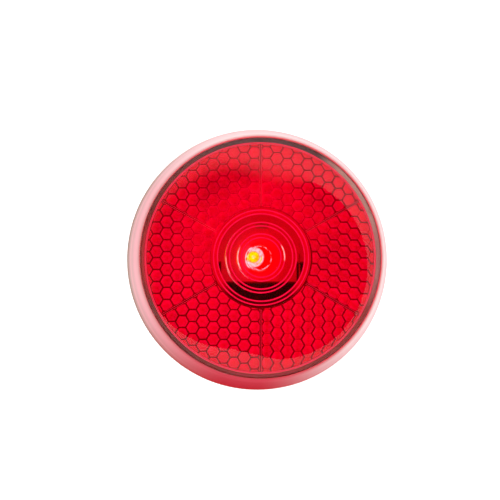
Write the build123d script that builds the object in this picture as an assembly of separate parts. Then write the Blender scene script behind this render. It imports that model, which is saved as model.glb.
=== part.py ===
from build123d import *
import os
from math import cos, radians, sin, sqrt

# A round clip-on LED safety flasher: a clear domed cover over a red prismatic reflector with one LED behind
# its middle window, a red base with three button cells, a push button and a sprung white clip on the back.
# Millimetres. +Z points out of the lens, +Y points up as it is worn, and the origin lies under the middle of
# the lens, on the flat outer face of the clip that the flasher rests on.

# Heights along Z
CLIP_THICK = 2.2
BACK_Z = 6.6            # outer back face of the base
FLOOR_Z = 8.2           # inner floor of the base
COVER_REAR_Z = 8.6      # rear edge of the clear cover
CROWN_Z = 25.6          # highest point of the dome
BOARD_Z = 11.3          # underside of the circuit board
BOARD_THICK = 1.2

# Radii of the round shells
COVER_R = 28.565        # rear edge of the clear cover before it is rounded, which leaves 57.0 across
FLANK_DRAFT = 8.5       # degrees
SHOULDER_FILLET = 0.9
BASE_R = 25.95
SPIGOT_R = 24.9
SPIGOT_BORE_R = 23.7
SPIGOT_TOP_Z = 15.2
RING_Z = (15.6, 20.75)  # bezel ring
COVER_BORE_R = 26.25    # bore behind the bayonet
COVER_NECK_R = 26.0     # bore beside the reflector
SKIRT_R = (25.62, 25.95)
LENS_R = 24.65
WINDOW_R = 10.6

# The dome and everything stacked under it are shells about one centre
DOME_R = 120.0
DOME_CENTRE_Z = CROWN_Z - DOME_R
COVER_THICK = 1.8
LENS_FRONT = DOME_R - COVER_THICK - 0.15
LENS_BACK = LENS_FRONT - 1.9
PRISM_DEPTH = 1.1
PRISM_TIPS = LENS_BACK - PRISM_DEPTH
PRISM_R = 24.25         # the prisms reach out to here
TRAY_FRONT = PRISM_TIPS - 0.2
TRAY_BACK = TRAY_FRONT - 1.0
RING_RIBS = ((4.2, 5.0), (6.6, 7.6), (9.2, 10.25))
RING_RIB_HEIGHT = 0.5
SECTOR_GAP = 0.5
SECTORS = 6

# Bayonet between the cover and the base
LUG_ANGLES = (90, 210, 330)
LUG_SPAN = 26
LEDGE_SPAN = 30
LEDGE_Z = (11.4, 12.65)
LUG_Z = (12.85, 14.0)

# Electronics
LED_R, LED_FLANGE_R, LED_HEIGHT = 2.5, 2.9, 8.6
LED_PITCH = 2.54
CUP_X = -0.35
BUTTON_X, BUTTON_Y, BUTTON_R = 15.5, 4.5, 3.8
BUTTON_TRAVEL = 0.5
SWITCH_SIDE, SWITCH_HEIGHT = 6.0, 1.8
BOARD_R = 22.6
BOARD_TONGUE_X = 7.9    # half width of the board's tongue
BOARD_TONGUE_Y = -4.8
BOARD_EDGE_Y = -0.6
BOARD_POSTS = ((-15.0, 13.5), (15.0, 13.5))
HOLDER_SCREWS = ((-6.2, -10.6), (6.2, -10.6))

# Three LR44 button cells in a black holder
CELL_R, CELL_HEIGHT = 5.8, 5.4
CELL_ORBIT = 16.6
CELL_Z = 9.6
CELL_ANGLES = (210, 270, 330)
CONTACT_THICK = 0.3
HOLDER_R = 23.4
HOLDER_Z = (8.3, 14.2)

# Clip on the back
PIN_Y, PIN_Z, PIN_R = 9.0, 3.6, 1.0
ARM_HALF_WIDTH = 8.5
ARM_TOP_Y, ARM_END_Y = 20.0, -24.0
EAR_X = (4.6, 6.2)
CHEEK_X = (6.5, 8.3)
WIRE_R, COIL_R, COIL_TURNS = 0.45, 1.9, 4.5
SPRING_LEG_Y = 17.0

BOARD_TOP = BOARD_Z + BOARD_THICK
CELL_TOP = CELL_Z + CELL_HEIGHT
CELL_SPOTS = [(CELL_ORBIT * cos(radians(a)), CELL_ORBIT * sin(radians(a))) for a in CELL_ANGLES]


def rod(radius, low, high, x=0.0, y=0.0):
    """A cylinder along Z between two heights."""
    return Pos(x, y, low) * Cylinder(radius, high - low, align=(Align.CENTER, Align.CENTER, Align.MIN))


def tube(inner, outer, low, high, x=0.0, y=0.0):
    return rod(outer, low, high, x, y) - rod(inner, low - 1, high + 1, x, y)


def block(x, y, z):
    """A box between pairs of x, y and z."""
    return Pos(x[0], y[0], z[0]) * Box(x[1] - x[0], y[1] - y[0], z[1] - z[0], align=(Align.MIN,) * 3)


def both_sides(shape):
    return shape + mirror(shape, Plane.YZ)


def turned(points):
    """A closed outline of (radius, height) turned about Z."""
    return revolve(make_face(Polyline(*[(r, 0, z) for r, z in points], close=True)), Axis.Z)


def arc_block(inner, outer, low, high, middle, span):
    """A piece of a ring, span degrees wide about the angle middle."""
    section = Polyline((inner, 0, low), (outer, 0, low), (outer, 0, high), (inner, 0, high), close=True)
    ring = make_face(section)
    return Rot(0, 0, middle - span / 2) * revolve(ring, Axis.Z, span)


def dome_ball(radius):
    return Pos(0, 0, DOME_CENTRE_Z) * Sphere(radius)


def dome_shell(inner, outer, across):
    """The part of a shell about the dome's centre that lies within a radius of the Z axis."""
    return (rod(across, 5, CROWN_Z + 1) & dome_ball(outer)) - dome_ball(inner)


def flat_plate(points, low, high):
    return Pos(0, 0, low) * extrude(make_face(Polyline(*points, close=True)), high - low)


def bar(start, end, half_width, low, high):
    """A flat strip between two points in plan, with round ends."""
    length = sqrt((end[0] - start[0]) ** 2 + (end[1] - start[1]) ** 2)
    side = ((start[1] - end[1]) / length * half_width, (end[0] - start[0]) / length * half_width)
    corners = []
    for point, sign in ((start, 1), (end, 1), (end, -1), (start, -1)):
        corners.append((point[0] + sign * side[0], point[1] + sign * side[1]))
    ends = rod(half_width, low, high, *start) + rod(half_width, low, high, *end)
    return flat_plate(corners, low, high) + ends


def radial_bars(half_width, inner, outer, low, high):
    """The bars between the sectors of the reflector."""
    one = block((-half_width, half_width), (inner, outer), (low, high))
    return [Rot(0, 0, 360 / SECTORS * i) * one for i in range(SECTORS)]


# ---- front: what turns with the clear cover ----

def clear_cover():
    height = CROWN_Z + 2 - COVER_REAR_Z
    top_r = COVER_R - height * sin(radians(FLANK_DRAFT)) / cos(radians(FLANK_DRAFT))
    cone = Cone(COVER_R, top_r, height, align=(Align.CENTER, Align.CENTER, Align.MIN))
    outside = Pos(0, 0, COVER_REAR_Z) * cone & dome_ball(DOME_R)
    shoulder = [e for e in outside.edges() if e.center().Z > CROWN_Z - 5]
    outside = fillet(shoulder, SHOULDER_FILLET)
    rear = [e for e in outside.edges() if abs(e.center().Z - COVER_REAR_Z) < 0.01]
    outside = fillet(rear, 0.4)
    neck_z = LUG_Z[1] + 0.6
    bore = turned([
        (0, COVER_REAR_Z - 1), (COVER_BORE_R, COVER_REAR_Z - 1), (COVER_BORE_R, neck_z),
        (COVER_NECK_R, neck_z + 0.8), (COVER_NECK_R, CROWN_Z), (0, CROWN_Z),
    ])
    cover = outside - (bore & dome_ball(DOME_R - COVER_THICK))
    for angle in LUG_ANGLES:
        cover += arc_block(SPIGOT_R + 0.3, COVER_BORE_R + 0.2, *LEDGE_Z, angle, LEDGE_SPAN)
        stop_angle = angle + LEDGE_SPAN / 2
        cover += arc_block(SPIGOT_R + 0.3, COVER_BORE_R + 0.2, LEDGE_Z[0], LUG_Z[1] + 0.2, stop_angle, 3)
    return cover


def red_lens():
    lens = dome_shell(LENS_BACK, LENS_FRONT, LENS_R)
    for inner, outer in RING_RIBS:
        lens += dome_shell(LENS_BACK - RING_RIB_HEIGHT, LENS_BACK + 0.1, outer) - rod(inner, 5, 30)
    lens += dome_shell(PRISM_TIPS, LENS_BACK + 0.1, PRISM_R) - rod(WINDOW_R, 5, 30)
    bars = radial_bars(SECTOR_GAP / 2, WINDOW_R - 0.5, PRISM_R + 0.1, 10, 30)
    for one in bars:
        lens -= one & dome_ball(LENS_BACK)
    return lens


def reflector_tray():
    dish = dome_shell(TRAY_BACK, TRAY_FRONT, LENS_R - 0.05)
    lip = dome_shell(TRAY_BACK, LENS_BACK - 0.02, LENS_R - 0.05) - rod(PRISM_R + 0.05, 5, 30)
    return dish + lip - rod(WINDOW_R, 5, 30)


def bezel_ring():
    """The dark ring round the lens, with a shelf that carries the tray."""
    outer, inner = SKIRT_R[0] - 0.02, LENS_R + 0.05
    shelf_z = DOME_CENTRE_Z + sqrt(TRAY_BACK ** 2 - (LENS_R - 0.05) ** 2)
    low, high = RING_Z
    return turned([
        (23.6, low), (outer, low), (outer, high), (inner, high), (inner, shelf_z), (23.6, shelf_z),
    ])


def red_skirt():
    """The red sleeve round the bezel ring, which glows through the cover's flank."""
    low, high = RING_Z
    return tube(*SKIRT_R, low, high + 0.1)


# ---- base: the shell and what is fixed in it ----

def hinge_ear():
    """One of the two ears that hold the clip's pin."""
    post = block(EAR_X, (PIN_Y - 2.2, PIN_Y + 2.2), (PIN_Z, BACK_Z))
    eye = Pos((EAR_X[0] + EAR_X[1]) / 2, PIN_Y, PIN_Z) * Rot(0, 90, 0) * Cylinder(2.2, EAR_X[1] - EAR_X[0])
    return post + eye - pin_shape(PIN_R)


def pin_shape(radius, half_length=20.0):
    return Pos(0, PIN_Y, PIN_Z) * Rot(0, 90, 0) * Cylinder(radius, 2 * half_length)


def base_shell():
    shell = turned([
        (0, BACK_Z), (24.2, BACK_Z), (BASE_R, FLOOR_Z), (BASE_R, FLOOR_Z + 1.6), (SPIGOT_R, FLOOR_Z + 1.6),
        (SPIGOT_R, SPIGOT_TOP_Z), (SPIGOT_BORE_R, SPIGOT_TOP_Z), (SPIGOT_BORE_R, FLOOR_Z), (0, FLOOR_Z),
    ])
    shell -= tube(22.0, 22.6, BACK_Z - 1, BACK_Z + 0.4)
    for angle in LUG_ANGLES:
        shell += arc_block(SPIGOT_R - 0.3, SPIGOT_R + 0.8, *LUG_Z, angle, LUG_SPAN)
    for x, y in BOARD_POSTS:
        shell += rod(2.2, FLOOR_Z - 0.2, BOARD_Z, x, y) - rod(0.85, FLOOR_Z, BOARD_Z + 1, x, y)
    for x, y in HOLDER_SCREWS:
        shell -= rod(0.85, FLOOR_Z - 0.9, FLOOR_Z + 1, x, y)
    shell += tube(BUTTON_R + 0.8, BUTTON_R + 1.8, BACK_Z - 0.4, BACK_Z + 0.2, BUTTON_X, BUTTON_Y)
    shell -= rod(BUTTON_R + 0.3, BACK_Z - 2, FLOOR_Z + 1, BUTTON_X, BUTTON_Y)
    shell += both_sides(hinge_ear())
    spring_seat_z = PIN_Z + COIL_R + WIRE_R
    shell += block((-3.4, -1.2), (15.0, 17.0), (spring_seat_z, BACK_Z))
    return shell


def seal_ring():
    return Pos(0, 0, FLOOR_Z + 1.6 + 0.52) * Torus(SPIGOT_R + 0.53, 0.51)


def battery_holder():
    body = rod(HOLDER_R, *HOLDER_Z)
    body -= block((-30, 30), (BOARD_EDGE_Y - 0.4, 30), (5, 20))
    body -= block((-BOARD_TONGUE_X - 0.3, BOARD_TONGUE_X + 0.3), (BOARD_TONGUE_Y - 0.4, 30), (5, 20))
    for x, y in CELL_SPOTS:
        body -= rod(CELL_R + 0.25, CELL_Z - CONTACT_THICK, 20, x, y)
    for x, y in HOLDER_SCREWS:
        body += rod(2.1, HOLDER_Z[0], CELL_TOP, x, y)
        body -= rod(1.1, 5, 20, x, y)
    for contact in (positive_contact(), bridge_bottom()):
        body -= contact
    return body


def button_cell(spot, cap_down=False):
    """The can, which is the plus side, and the smaller cap that stands a little proud of it."""
    x, y = spot
    can = rod(CELL_R, CELL_Z, CELL_TOP - 0.4, x, y)
    can = fillet(can.edges().filter_by(GeomType.CIRCLE).sort_by(Axis.Z)[0], 0.5)
    cap = rod(CELL_R - 0.9, CELL_TOP - 0.6, CELL_TOP, x, y)
    cap = fillet(cap.edges().filter_by(GeomType.CIRCLE).sort_by(Axis.Z)[-1], 0.2)
    cell = can + cap
    return mirror(cell, Plane.XY.offset(CELL_Z + CELL_HEIGHT / 2)) if cap_down else cell


def screw_hole(spot):
    return rod(1.1, 5, 20, *spot)


def bridge_top():
    """The strip over the right and the lowest cell, clamped by the right holder screw."""
    hub = HOLDER_SCREWS[1]
    strip = bar(hub, CELL_SPOTS[2], 1.6, CELL_TOP, CELL_TOP + CONTACT_THICK)
    strip += bar(hub, CELL_SPOTS[1], 1.6, CELL_TOP, CELL_TOP + CONTACT_THICK)
    strip += rod(2.1, CELL_TOP, CELL_TOP + CONTACT_THICK, *hub)
    return strip - screw_hole(hub)


def bridge_bottom():
    """The strip that lies in the wells' floors under the lowest and the left cell."""
    low = CELL_Z - CONTACT_THICK
    return bar(CELL_SPOTS[1], CELL_SPOTS[0], 0.9, low, CELL_Z)


def negative_contact():
    """From the left cell's top past the left holder screw to a solder tab on the board."""
    hub = HOLDER_SCREWS[0]
    high = CELL_TOP + CONTACT_THICK
    strip = bar(hub, CELL_SPOTS[0], 1.6, CELL_TOP, high) + rod(2.1, CELL_TOP, high, *hub)
    strip += bar((-11.6, -7.6), (-11.6, 0.2), 1.0, CELL_TOP, high)
    strip += block((-12.6, -10.6), (0.9, 0.9 + CONTACT_THICK), (BOARD_TOP, high))
    strip += block((-12.6, -10.6), (0.2, 0.9), (CELL_TOP, high))
    return strip - screw_hole(hub)


def positive_contact():
    """A blade against the right cell's can, with a tab that is soldered to the board."""
    touch_x = CELL_SPOTS[2][0] - CELL_R
    blade_x = (touch_x - CONTACT_THICK, touch_x)
    blade = block(blade_x, (-9.3, -1.2), (CELL_Z, CELL_TOP - 0.2))
    return blade + block(blade_x, (-1.2, 1.0), (BOARD_TOP, BOARD_TOP + 1.2))


def circuit_board():
    board = rod(BOARD_R, BOARD_Z, BOARD_TOP) - block((-30, 30), (-30, BOARD_EDGE_Y), (5, 20))
    tongue_x = (-BOARD_TONGUE_X, BOARD_TONGUE_X)
    board += block(tongue_x, (BOARD_TONGUE_Y, BOARD_EDGE_Y + 1), (BOARD_Z, BOARD_TOP))
    for x, y in BOARD_POSTS:
        board -= rod(1.1, 5, 20, x, y)
    for x in (-LED_PITCH / 2, LED_PITCH / 2):
        board -= rod(0.45, 5, 20, x, 0)
    return board


def lead(side, top):
    """A square lead through the board and up into the LED."""
    x = side * LED_PITCH / 2
    return block((x - 0.25, x + 0.25), (-0.25, 0.25), (BOARD_Z - 1.4, top))


def led_leads():
    """Cathode lead with the anvil and reflector cup, and anode lead with its post."""
    anvil_z, cup_z = BOARD_TOP + 2.0, BOARD_TOP + 3.9
    anvil = make_face(Polyline(
        (-1.52, 0, anvil_z), (-1.52, 0, cup_z), (0.4, 0, cup_z),
        (0.4, 0, cup_z - 0.8), (-1.02, 0, anvil_z), close=True
    ))
    cathode = lead(-1, anvil_z) + extrude(anvil, 0.25, both=True)
    cup = Cone(0.7, 0.95, 0.5) - Pos(0, 0, 0.1) * Cone(0.4, 0.8, 0.42)
    cathode += Pos(CUP_X, 0, cup_z + 0.25) * cup
    post = make_face(Polyline(
        (1.02, 0, anvil_z), (1.52, 0, anvil_z), (1.52, 0, cup_z - 0.2), (0.8, 0, cup_z - 0.2), close=True
    ))
    anode = lead(1, anvil_z) + extrude(post, 0.25, both=True)
    return Compound(children=[cathode, anode])


def led_die():
    cup_floor = BOARD_TOP + 3.9 + 0.14
    return block((CUP_X - 0.17, CUP_X + 0.17), (-0.17, 0.17), (cup_floor, cup_floor + 0.2))


def led_dome():
    """Clear epoxy: a flange with a flat on the cathode side, a barrel and a round tip."""
    barrel_top = BOARD_TOP + LED_HEIGHT - LED_R
    dome = rod(LED_R, BOARD_TOP, barrel_top) + Pos(0, 0, barrel_top) * Sphere(LED_R)
    flange = rod(LED_FLANGE_R, BOARD_TOP, BOARD_TOP + 1.0)
    flange -= block((-LED_FLANGE_R - 1, -LED_R), (-5, 5), (BOARD_TOP - 1, BOARD_TOP + 2))
    return dome + flange - led_leads() - led_die()


def flasher_chip():
    """A drop of black epoxy over the chip."""
    drop_r, height = 3.4, 1.5
    ball_r = (drop_r ** 2 + height ** 2) / (2 * height)
    ball = Pos(8.5, 13.5, BOARD_TOP + height - ball_r) * Sphere(ball_r)
    return ball & rod(drop_r + 1, BOARD_TOP, BOARD_TOP + 5, 8.5, 13.5)


def resistor():
    body = block((-0.4, 1.6), (6.3, 7.5), (BOARD_TOP, BOARD_TOP + 0.5))
    left = block((-0.75, -0.4), (6.3, 7.5), (BOARD_TOP, BOARD_TOP + 0.55))
    right = block((1.6, 1.95), (6.3, 7.5), (BOARD_TOP, BOARD_TOP + 0.55))
    return Compound(children=[body, left, right])


def capacitor():
    can = rod(2.5, BOARD_TOP + 0.3, BOARD_TOP + 5.3, -9.0, 13.5)
    can -= Pos(-9.0, 13.5, BOARD_TOP + 1.1) * Torus(2.65, 0.3)
    feet = [rod(0.25, BOARD_TOP, BOARD_TOP + 0.3, -9.0 + s, 13.5) for s in (-1.0, 1.0)]
    return can + feet


def solder_joints():
    """Cones of solder on the underside of the board, round the LED's leads."""
    joints = []
    for side in (-1, 1):
        x = side * LED_PITCH / 2
        cone = Pos(x, 0, BOARD_Z - 0.45) * Cone(0.45, 1.0, 0.9)
        joints.append(cone - lead(side, BOARD_TOP))
    return Compound(children=joints)


def switch_body():
    half = SWITCH_SIDE / 2
    low = BOARD_Z - SWITCH_HEIGHT
    body = block((BUTTON_X - half, BUTTON_X + half), (BUTTON_Y - half, BUTTON_Y + half), (low, BOARD_Z))
    return body - rod(1.8, low - 1, low + 1.2, BUTTON_X, BUTTON_Y)


def switch_plunger():
    low = BOARD_Z - SWITCH_HEIGHT - 0.6
    return rod(1.5, low, low + 1.2, BUTTON_X, BUTTON_Y)


def push_button():
    flange_top = BOARD_Z - SWITCH_HEIGHT - 0.6
    cap = rod(BUTTON_R, BACK_Z - 0.7, FLOOR_Z + 0.1, BUTTON_X, BUTTON_Y)
    cap = fillet(cap.edges().filter_by(GeomType.CIRCLE).sort_by(Axis.Z)[0], 0.5)
    return cap + rod(BUTTON_R + 0.9, FLOOR_Z, flange_top, BUTTON_X, BUTTON_Y)


def screw(spot, seat_z, length):
    """A pan head screw with a cross recess, driven from the front."""
    x, y = spot
    head = rod(1.9, seat_z, seat_z + 1.1, x, y)
    head = fillet(head.edges().filter_by(GeomType.CIRCLE).sort_by(Axis.Z)[-1], 0.5)
    for size in ((0.25, 1.1), (1.1, 0.25)):
        head -= block((x - size[0], x + size[0]), (y - size[1], y + size[1]), (seat_z + 0.4, seat_z + 2))
    return head + rod(0.85, seat_z - length, seat_z + 0.1, x, y)


def board_screws():
    return Compound(children=[screw(spot, BOARD_TOP, 4.0) for spot in BOARD_POSTS])


def holder_screws():
    return Compound(children=[screw(spot, CELL_TOP + CONTACT_THICK, 7.6) for spot in HOLDER_SCREWS])


# ---- clip ----

def hinge_pin():
    pin = pin_shape(PIN_R, CHEEK_X[1] + 0.1)
    return chamfer(pin.edges().filter_by(GeomType.CIRCLE), 0.2)


def clip_arm():
    """A tongue with a window for the coil, two cheeks on the pin, a raised jaw and thumb grooves."""
    outline = make_face(Polyline(
        (-ARM_HALF_WIDTH, ARM_TOP_Y), (ARM_HALF_WIDTH, ARM_TOP_Y), (ARM_HALF_WIDTH, 2.0),
        (ARM_HALF_WIDTH - 1.5, ARM_END_Y), (-ARM_HALF_WIDTH + 1.5, ARM_END_Y),
        (-ARM_HALF_WIDTH, 2.0), close=True
    ))
    outline = fillet([v for v in outline.vertices() if abs(v.Y - 2.0) > 1], 4.0)
    arm = extrude(outline, CLIP_THICK)
    jaw = block((-ARM_HALF_WIDTH + 1.5, ARM_HALF_WIDTH - 1.5), (ARM_END_Y - 1, ARM_END_Y + 4), (1.0, 5.4))
    arm += jaw & extrude(outline, 6.0)
    arm = fillet([e for e in arm.edges() if abs(e.center().Z) < 0.01], 0.6)
    arm -= block((-EAR_X[1] - 0.3, EAR_X[1] + 0.3), (PIN_Y - 3.6, PIN_Y + 3.6), (-1, 5))
    for i in range(4):
        groove_y = PIN_Y + 4.9 + 1.5 * i
        arm -= block((-5.5, 5.5), (groove_y, groove_y + 0.7), (-1, 0.5))
    cheek_x = (CHEEK_X[0] + CHEEK_X[1]) / 2
    cheek = Pos(cheek_x, PIN_Y, PIN_Z) * Rot(0, 90, 0) * Cylinder(2.3, CHEEK_X[1] - CHEEK_X[0])
    cheek += block(CHEEK_X, (PIN_Y - 3.8, PIN_Y + 3.8), (1.0, PIN_Z - 0.4))
    cheek -= pin_shape(PIN_R + 0.05)
    arm += both_sides(cheek)
    leg_z = PIN_Z - COIL_R
    arm -= block((1.5, 3.1), (PIN_Y, 17.4), (leg_z - WIRE_R - 0.05, 3))
    return arm


def jaw_pad():
    """A soft pad with three teeth on the jaw."""
    half = ARM_HALF_WIDTH - 2.3
    pad = block((-half, half), (ARM_END_Y + 0.8, ARM_END_Y + 4), (5.4, 5.9))
    for i in range(3):
        tooth = make_face(Polyline((0, 0, 5.9), (0, 0.9, 5.9), (0, 0.45, BACK_Z - 0.1), close=True))
        pad += Pos(0, ARM_END_Y + 0.95 + i, 0) * extrude(tooth, half, both=True)
    return pad


def clip_spring():
    """A torsion spring on the pin. One leg bears on the base and the other lies in the arm's groove."""
    length = (2 * WIRE_R + 0.08) * COIL_TURNS
    steps = int(COIL_TURNS * 12)
    middle = []
    for i in range(steps + 1):
        x, turn = length * (i / steps - 0.5), radians(30 * i)
        middle.append((x, PIN_Y - COIL_R * sin(turn), PIN_Z + COIL_R * cos(turn)))
    legs = [(SPRING_LEG_Y - PIN_Y) * part / 4 for part in (4, 3, 2, 1)]
    first = [(-length / 2, PIN_Y + y, PIN_Z + COIL_R) for y in legs]
    last = [(length / 2, PIN_Y + y, PIN_Z - COIL_R) for y in reversed(legs)]
    path = Spline(*first, *middle, *last)
    return sweep(Plane(origin=path @ 0, z_dir=path % 0) * Circle(WIRE_R), path)


NODES = {
    "clear_cover": clear_cover(),
    "red_lens": red_lens(),
    "reflector_tray": reflector_tray(),
    "bezel_ring": bezel_ring(),
    "red_skirt": red_skirt(),
    "base_shell": base_shell(),
    "seal_ring": seal_ring(),
    "battery_holder": battery_holder(),
    "cell_left": button_cell(CELL_SPOTS[0]),
    "cell_low": button_cell(CELL_SPOTS[1], cap_down=True),
    "cell_right": button_cell(CELL_SPOTS[2]),
    "bridge_top": bridge_top(),
    "bridge_bottom": bridge_bottom(),
    "contact_minus": negative_contact(),
    "contact_plus": positive_contact(),
    "holder_screws": holder_screws(),
    "circuit_board": circuit_board(),
    "board_screws": board_screws(),
    "led_leads": led_leads(),
    "led_die": led_die(),
    "led_dome": led_dome(),
    "solder_joints": solder_joints(),
    "flasher_chip": flasher_chip(),
    "resistor": resistor(),
    "capacitor": capacitor(),
    "switch_body": switch_body(),
    "switch_plunger": switch_plunger(),
    "push_button": push_button(),
    "hinge_pin": hinge_pin(),
    "clip_spring": clip_spring(),
    "clip_arm": clip_arm(),
    "jaw_pad": jaw_pad(),
}

os.makedirs("parts", exist_ok=True)
for name, shape in NODES.items():
    export_step(shape, "parts/" + name + ".step")
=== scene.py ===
"""A lit clip-on LED safety flasher, seen nearly face on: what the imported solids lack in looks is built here.

Lengths are in millimetres until a mesh is made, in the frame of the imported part:
+Z points out of the lens and +Y up as it is worn.
"""
from math import atan2, cos, degrees, exp, hypot, pi, radians, sin, sqrt
from random import Random

import bmesh
import bpy
from mathutils import Matrix, Vector


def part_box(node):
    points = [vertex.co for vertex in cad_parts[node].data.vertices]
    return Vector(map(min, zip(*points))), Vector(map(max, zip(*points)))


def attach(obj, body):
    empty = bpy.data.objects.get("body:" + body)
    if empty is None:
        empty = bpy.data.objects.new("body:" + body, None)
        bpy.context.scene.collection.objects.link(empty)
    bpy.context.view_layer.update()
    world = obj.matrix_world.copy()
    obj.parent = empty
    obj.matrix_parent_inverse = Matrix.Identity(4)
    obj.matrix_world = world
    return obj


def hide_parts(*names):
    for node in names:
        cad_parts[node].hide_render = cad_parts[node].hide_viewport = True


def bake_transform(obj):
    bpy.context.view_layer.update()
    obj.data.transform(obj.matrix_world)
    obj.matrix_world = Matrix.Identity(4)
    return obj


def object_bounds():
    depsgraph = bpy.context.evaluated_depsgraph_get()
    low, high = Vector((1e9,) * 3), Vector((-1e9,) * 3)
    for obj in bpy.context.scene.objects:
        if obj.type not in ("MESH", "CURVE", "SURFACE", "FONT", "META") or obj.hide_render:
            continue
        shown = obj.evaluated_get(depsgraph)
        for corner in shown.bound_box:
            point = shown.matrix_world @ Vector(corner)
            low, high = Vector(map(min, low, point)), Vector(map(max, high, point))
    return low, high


MM = 0.001
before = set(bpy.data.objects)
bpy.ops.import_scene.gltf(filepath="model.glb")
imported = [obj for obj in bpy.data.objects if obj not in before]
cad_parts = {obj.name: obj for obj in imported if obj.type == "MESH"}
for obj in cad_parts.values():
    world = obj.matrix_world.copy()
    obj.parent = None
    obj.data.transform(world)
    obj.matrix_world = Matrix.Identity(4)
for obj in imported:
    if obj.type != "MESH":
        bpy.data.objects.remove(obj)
CAD_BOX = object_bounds()


def corners_mm(node):
    low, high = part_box(node)
    return low / MM, high / MM


# ---- driving dimensions, from the frame where it states them ----
cover_low, cover_high = corners_mm("clear_cover")
COVER_R, REAR_Z, CROWN_Z = cover_high.x, cover_low.z, cover_high.z
DOME_R = 120.0
DOME_CENTRE_Z = CROWN_Z - DOME_R
COVER_THICK = 1.8
LENS_FRONT = DOME_R - COVER_THICK - 0.15
LENS_BACK = LENS_FRONT - 1.9
LENS_R = corners_mm("red_lens")[1].x
SKIRT_R = corners_mm("red_skirt")[1].x
NECK_R = SKIRT_R + 0.05  # bore of the cover beside the lens
BORE_R = 26.25           # bore of the cover behind its neck
NECK_Z = 14.6
SATIN_R = 25.75          # the cover is satin from here outwards and clear inside
FLANK_TOP_Z = 22.35
FLANK_TAPER = 2.07       # how far the flank leans in from the rear edge up to the shoulder
SHOULDER_R = 0.92
WINDOW_R = 10.6
PRISM_R = LENS_R - 0.4
RING_RIBS = ((4.2, 5.0), (6.7, 7.45), (9.26, 10.08))
RIB_HEIGHT = 0.5
CELL_FLATS = 2.53
SECTOR_LINE = 0.2        # gap between two sectors
SECTOR_LIP = 0.12        # the lip on each side of the gap, at its foot
ROUND_STEPS = 256        # round a full turn on the outer shells
FINE_STEPS = 192         # and on the smaller ones


def dome_z(radius, shell):
    """Height of a shell about the dome's centre, at a radius from the Z axis."""
    return DOME_CENTRE_Z + sqrt(shell ** 2 - radius ** 2)


# ---- mesh helpers ----
def new_object(name, verts, faces, smooth_angle=30.0):
    """An object from millimetre vertices, smooth except where faces meet at more than an angle."""
    mesh = bpy.data.meshes.new(name)
    mesh.from_pydata([Vector(v) * MM for v in verts], [], faces)
    mesh.validate()
    bm = bmesh.new()
    bm.from_mesh(mesh)
    bmesh.ops.remove_doubles(bm, verts=bm.verts, dist=1e-6)
    bmesh.ops.recalc_face_normals(bm, faces=bm.faces)
    bm.to_mesh(mesh)
    bm.free()
    mesh.shade_smooth()
    mesh.set_sharp_from_angle(angle=radians(smooth_angle))
    obj = bpy.data.objects.new(name, mesh)
    bpy.context.scene.collection.objects.link(obj)
    return obj


def lathe_parts(profile, segments, start=0.0, span=360.0):
    """Vertices and faces of a closed (radius, z) outline turned about Z.

    Points on the axis become one vertex.
    """
    whole = span >= 360.0
    columns = segments if whole else segments + 1
    verts, rows = [], []
    for radius, z in profile:
        if radius < 1e-6:
            rows.append([len(verts)] * columns)
            verts.append((0, 0, z))
            continue
        rows.append(list(range(len(verts), len(verts) + columns)))
        for i in range(columns):
            angle = radians(start + span * i / segments)
            verts.append((radius * cos(angle), radius * sin(angle), z))
    faces = []
    for below, above in zip(rows, rows[1:] + rows[:1]):
        for i in range(segments):
            j = (i + 1) % columns
            loop = []
            for v in (below[i], below[j], above[j], above[i]):
                if v not in loop:
                    loop.append(v)
            if len(loop) > 2:
                faces.append(loop)
    if not whole:
        faces.append([row[0] for row in rows])
        faces.append([row[-1] for row in reversed(rows)])
    return verts, faces


def merged(parts):
    """Several lists of vertices and faces as one."""
    verts, faces = [], []
    for part_verts, part_faces in parts:
        base = len(verts)
        verts += part_verts
        faces += [[base + v for v in face] for face in part_faces]
    return verts, faces


def arc(centre, radius, start, end, steps):
    """Points of a (radius, z) arc between two angles in degrees."""
    points = []
    for i in range(steps + 1):
        angle = radians(start + (end - start) * i / steps)
        points.append((centre[0] + radius * cos(angle), centre[1] + radius * sin(angle)))
    return points


def shell_points(shell, inner, outer, steps):
    """Points along a dome shell from one radius to another."""
    return [(r, dome_z(r, shell)) for r in (inner + (outer - inner) * i / steps for i in range(steps + 1))]


# ---- materials ----
def material(name, color, roughness, **extra):
    """A new material and its shader. Extra names are socket names with underscores for spaces."""
    mat = bpy.data.materials.new(name)
    mat.use_nodes = True
    shader = mat.node_tree.nodes["Principled BSDF"]
    shader.inputs["Base Color"].default_value = (*color, 1)
    shader.inputs["Roughness"].default_value = roughness
    for key, value in extra.items():
        shader.inputs[key.replace("_", " ")].default_value = value
    return mat, shader


def add_node(mat, kind, **settings):
    node = mat.node_tree.nodes.new(kind)
    for key, value in settings.items():
        setattr(node, key, value)
    return node


def noise_field(mat, scale, detail=3.0):
    """A noise whose scale is in features per millimetre of the object."""
    place = add_node(mat, "ShaderNodeTexCoord")
    noise = add_node(mat, "ShaderNodeTexNoise")
    noise.inputs["Scale"].default_value = scale / MM
    noise.inputs["Detail"].default_value = detail
    mat.node_tree.links.new(place.outputs["Object"], noise.inputs["Vector"])
    return noise


def ramp(mat, source, *stops):
    """Colours by the value of a socket, each stop given as its position and its colour."""
    node = add_node(mat, "ShaderNodeValToRGB")
    elements = node.color_ramp.elements
    while len(elements) < len(stops):
        elements.new(0.5)
    for element, (position, color) in zip(elements, stops):
        element.position = position
        element.color = (*color, 1)
    mat.node_tree.links.new(source, node.inputs["Fac"])
    return node


def shade(color, factor):
    return tuple(min(1.0, c * factor) for c in color)


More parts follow.
